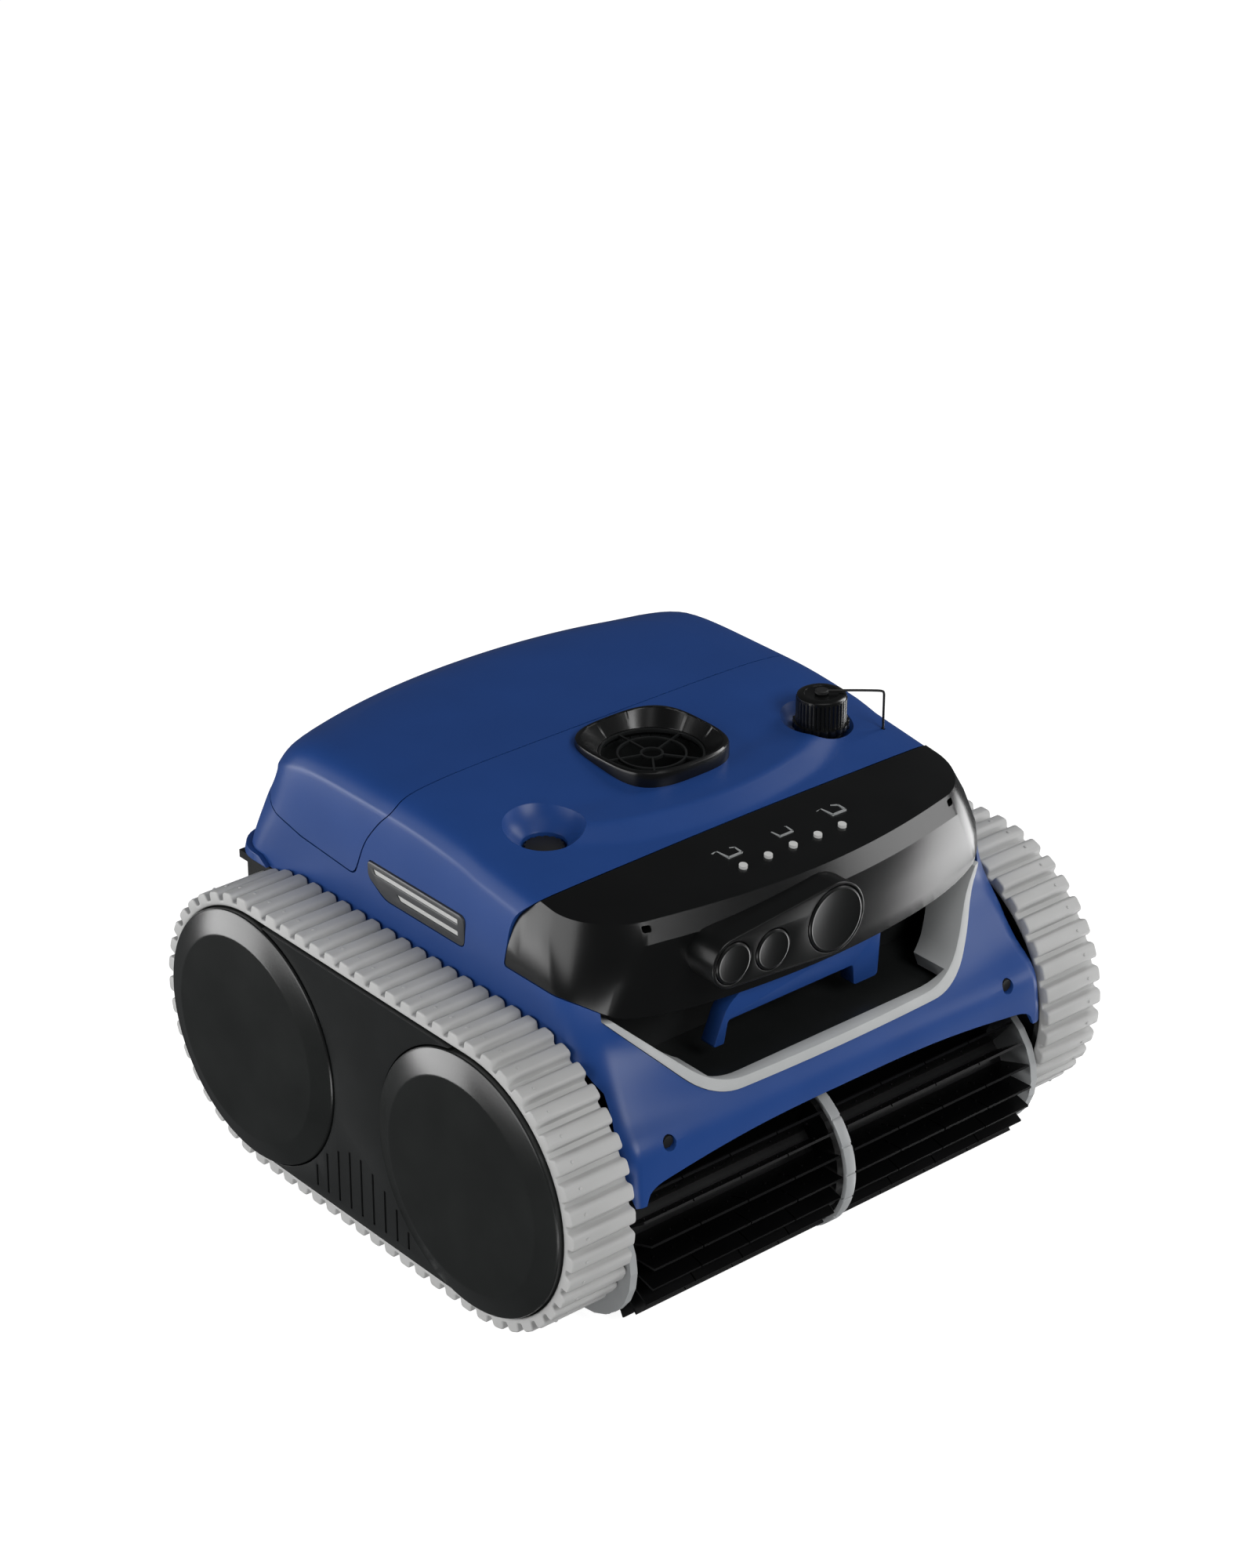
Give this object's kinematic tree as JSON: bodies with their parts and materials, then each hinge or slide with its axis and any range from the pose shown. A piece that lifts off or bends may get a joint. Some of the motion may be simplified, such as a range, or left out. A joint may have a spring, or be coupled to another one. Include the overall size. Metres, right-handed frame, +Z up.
{
  "type": "pool cleaner",
  "caption": "Cordless pool-cleaning robot on two lugged track belts with front and rear brush rollers, a hinged filter lid, top water outlet and a carrying-handle bar.",
  "frame": {"origin": "centre of the footprint, on the floor under the track belts", "axes": "+Z up; front (brush and handle bar) towards -Y; +X to the robot's left"},
  "size_m": [0.419, 0.3802, 0.2714],
  "materials": {
    "blue_shell": "satin",
    "gloss_black": "gloss",
    "satin_black": "satin",
    "track_rubber": "matte",
    "brush_rubber": "satin",
    "grey_plastic": "satin",
    "white_lens": "gloss",
    "smoked_plastic": "satin",
    "steel": "brushed",
    "circuit_board": "satin"
  },
  "bodies": {
    "chassis": {"top_shell": "blue_shell", "handle_insert": "blue_shell", "front_bezel": "gloss_black", "button_pod": "gloss_black", "outlet_ring": "gloss_black", "left_side_light": "gloss_black", "right_side_light": "gloss_black", "outlet_grille": "satin_black", "charge_socket": "satin_black", "vent_plug": "satin_black", "chassis_tray": "satin_black", "bottom_plate": "satin_black", "battery_pack": "satin_black", "pump_housing": "satin_black", "left_side_cover": "satin_black", "right_side_cover": "satin_black", "left_track_belt": "track_rubber", "right_track_belt": "track_rubber", "cap_tether": "brush_rubber", "handle_trim": "grey_plastic", "front_brush_support": "grey_plastic", "rear_brush_support": "grey_plastic", "left_front_brush_plate": "grey_plastic", "right_front_brush_plate": "grey_plastic", "left_rear_brush_plate": "grey_plastic", "right_rear_brush_plate": "grey_plastic", "light_guide": "white_lens", "left_side_light_lens": "white_lens", "right_side_light_lens": "white_lens", "filter_basket": "smoked_plastic", "lid_hinge_pin": "steel", "pump_motor": "steel", "left_fascia_screw": "steel", "right_fascia_screw": "steel", "left_drive_motor": "steel", "right_drive_motor": "steel", "left_front_axle": "steel", "right_front_axle": "steel", "left_rear_axle": "steel", "right_rear_axle": "steel", "control_board": "circuit_board"},
    "lid": {"lid": "blue_shell", "lid_seal": "brush_rubber"},
    "impeller": {"impeller": "smoked_plastic"},
    "charge_cap": {"charge_cap": "satin_black"},
    "mode_button": {"mode_button": "gloss_black"},
    "timer_button": {"timer_button": "gloss_black"},
    "power_button": {"power_button": "gloss_black"},
    "left_rear_wheel": {"left_rear_wheel": "satin_black"},
    "left_front_wheel": {"left_front_wheel": "satin_black"},
    "left_front_brush": {"left_front_brush": "brush_rubber"},
    "left_rear_brush": {"left_rear_brush": "brush_rubber"},
    "left_drive_pinion": {"left_drive_pinion": "grey_plastic"},
    "left_intake_flap": {"left_intake_flap": "brush_rubber"},
    "right_rear_wheel": {"right_rear_wheel": "satin_black"},
    "right_front_wheel": {"right_front_wheel": "satin_black"},
    "right_front_brush": {"right_front_brush": "brush_rubber"},
    "right_rear_brush": {"right_rear_brush": "brush_rubber"},
    "right_drive_pinion": {"right_drive_pinion": "grey_plastic"},
    "right_intake_flap": {"right_intake_flap": "brush_rubber"}
  },
  "joints": [
    {"name": "lid_hinge", "type": "hinge", "parent": "chassis", "child": "lid", "pos_m": [0, 0.1852, 0.205], "axis": [-1, 0, 0], "range_deg": [0, 85]},
    {"name": "impeller_spin", "type": "hinge", "parent": "chassis", "child": "impeller", "pos_m": [0, -0.017, 0.206], "axis": [0, 0, 1], "continuous": true},
    {"name": "charge_cap_turn", "type": "hinge", "parent": "chassis", "child": "charge_cap", "pos_m": [0.104, -0.047, 0.255], "axis": [0, 0, 1], "range_deg": [0, 90]},
    {"name": "mode_button_press", "type": "slide", "parent": "chassis", "child": "mode_button", "axis": [0, 1, 0], "range_m": [0, 0.0012], "stiffness_N_per_m": 400},
    {"name": "timer_button_press", "type": "slide", "parent": "chassis", "child": "timer_button", "axis": [0, 1, 0], "range_m": [0, 0.0012], "stiffness_N_per_m": 400},
    {"name": "power_button_press", "type": "slide", "parent": "chassis", "child": "power_button", "axis": [0, 1, 0], "range_m": [0, 0.0012], "stiffness_N_per_m": 400},
    {"name": "left_rear_wheel_spin", "type": "hinge", "parent": "chassis", "child": "left_rear_wheel", "pos_m": [0.18, 0.1012, 0.08825], "axis": [1, 0, 0], "continuous": true},
    {"name": "left_front_wheel_spin", "type": "hinge", "parent": "chassis", "child": "left_front_wheel", "pos_m": [0.18, -0.1012, 0.08825], "axis": [1, 0, 0], "continuous": true},
    {"name": "left_front_brush_spin", "type": "hinge", "parent": "chassis", "child": "left_front_brush", "pos_m": [0.075, -0.14139, 0.04926], "axis": [1, 0, 0], "continuous": true},
    {"name": "left_rear_brush_spin", "type": "hinge", "parent": "chassis", "child": "left_rear_brush", "pos_m": [0.075, 0.14139, 0.04926], "axis": [1, 0, 0], "continuous": true},
    {"name": "left_drive_pinion_spin", "type": "hinge", "parent": "chassis", "child": "left_drive_pinion", "pos_m": [0.165, 0.05508, 0.06424], "axis": [1, 0, 0], "continuous": true},
    {"name": "left_intake_flap_swing", "type": "hinge", "parent": "chassis", "child": "left_intake_flap", "pos_m": [0.0505, -0.001, 0.0213], "axis": [1, 0, 0], "range_deg": [0, 70]},
    {"name": "right_rear_wheel_spin", "type": "hinge", "parent": "chassis", "child": "right_rear_wheel", "pos_m": [-0.18, 0.1012, 0.08825], "axis": [1, 0, 0], "continuous": true},
    {"name": "right_front_wheel_spin", "type": "hinge", "parent": "chassis", "child": "right_front_wheel", "pos_m": [-0.18, -0.1012, 0.08825], "axis": [1, 0, 0], "continuous": true},
    {"name": "right_front_brush_spin", "type": "hinge", "parent": "chassis", "child": "right_front_brush", "pos_m": [-0.075, -0.14139, 0.04926], "axis": [1, 0, 0], "continuous": true},
    {"name": "right_rear_brush_spin", "type": "hinge", "parent": "chassis", "child": "right_rear_brush", "pos_m": [-0.075, 0.14139, 0.04926], "axis": [1, 0, 0], "continuous": true},
    {"name": "right_drive_pinion_spin", "type": "hinge", "parent": "chassis", "child": "right_drive_pinion", "pos_m": [-0.165, 0.05508, 0.06424], "axis": [1, 0, 0], "continuous": true},
    {"name": "right_intake_flap_swing", "type": "hinge", "parent": "chassis", "child": "right_intake_flap", "pos_m": [-0.0505, -0.001, 0.0213], "axis": [1, 0, 0], "range_deg": [0, 70]}
  ],
  "couplings": [
    {"joint": "left_front_wheel_spin", "follows": "left_rear_wheel_spin", "ratio": 1},
    {"joint": "left_front_brush_spin", "follows": "left_rear_wheel_spin", "ratio": -2.5},
    {"joint": "left_rear_brush_spin", "follows": "left_rear_wheel_spin", "ratio": -2.5},
    {"joint": "left_drive_pinion_spin", "follows": "left_rear_wheel_spin", "ratio": -3.3333},
    {"joint": "right_front_wheel_spin", "follows": "right_rear_wheel_spin", "ratio": 1},
    {"joint": "right_front_brush_spin", "follows": "right_rear_wheel_spin", "ratio": -2.5},
    {"joint": "right_rear_brush_spin", "follows": "right_rear_wheel_spin", "ratio": -2.5},
    {"joint": "right_drive_pinion_spin", "follows": "right_rear_wheel_spin", "ratio": -3.3333}
  ]
}
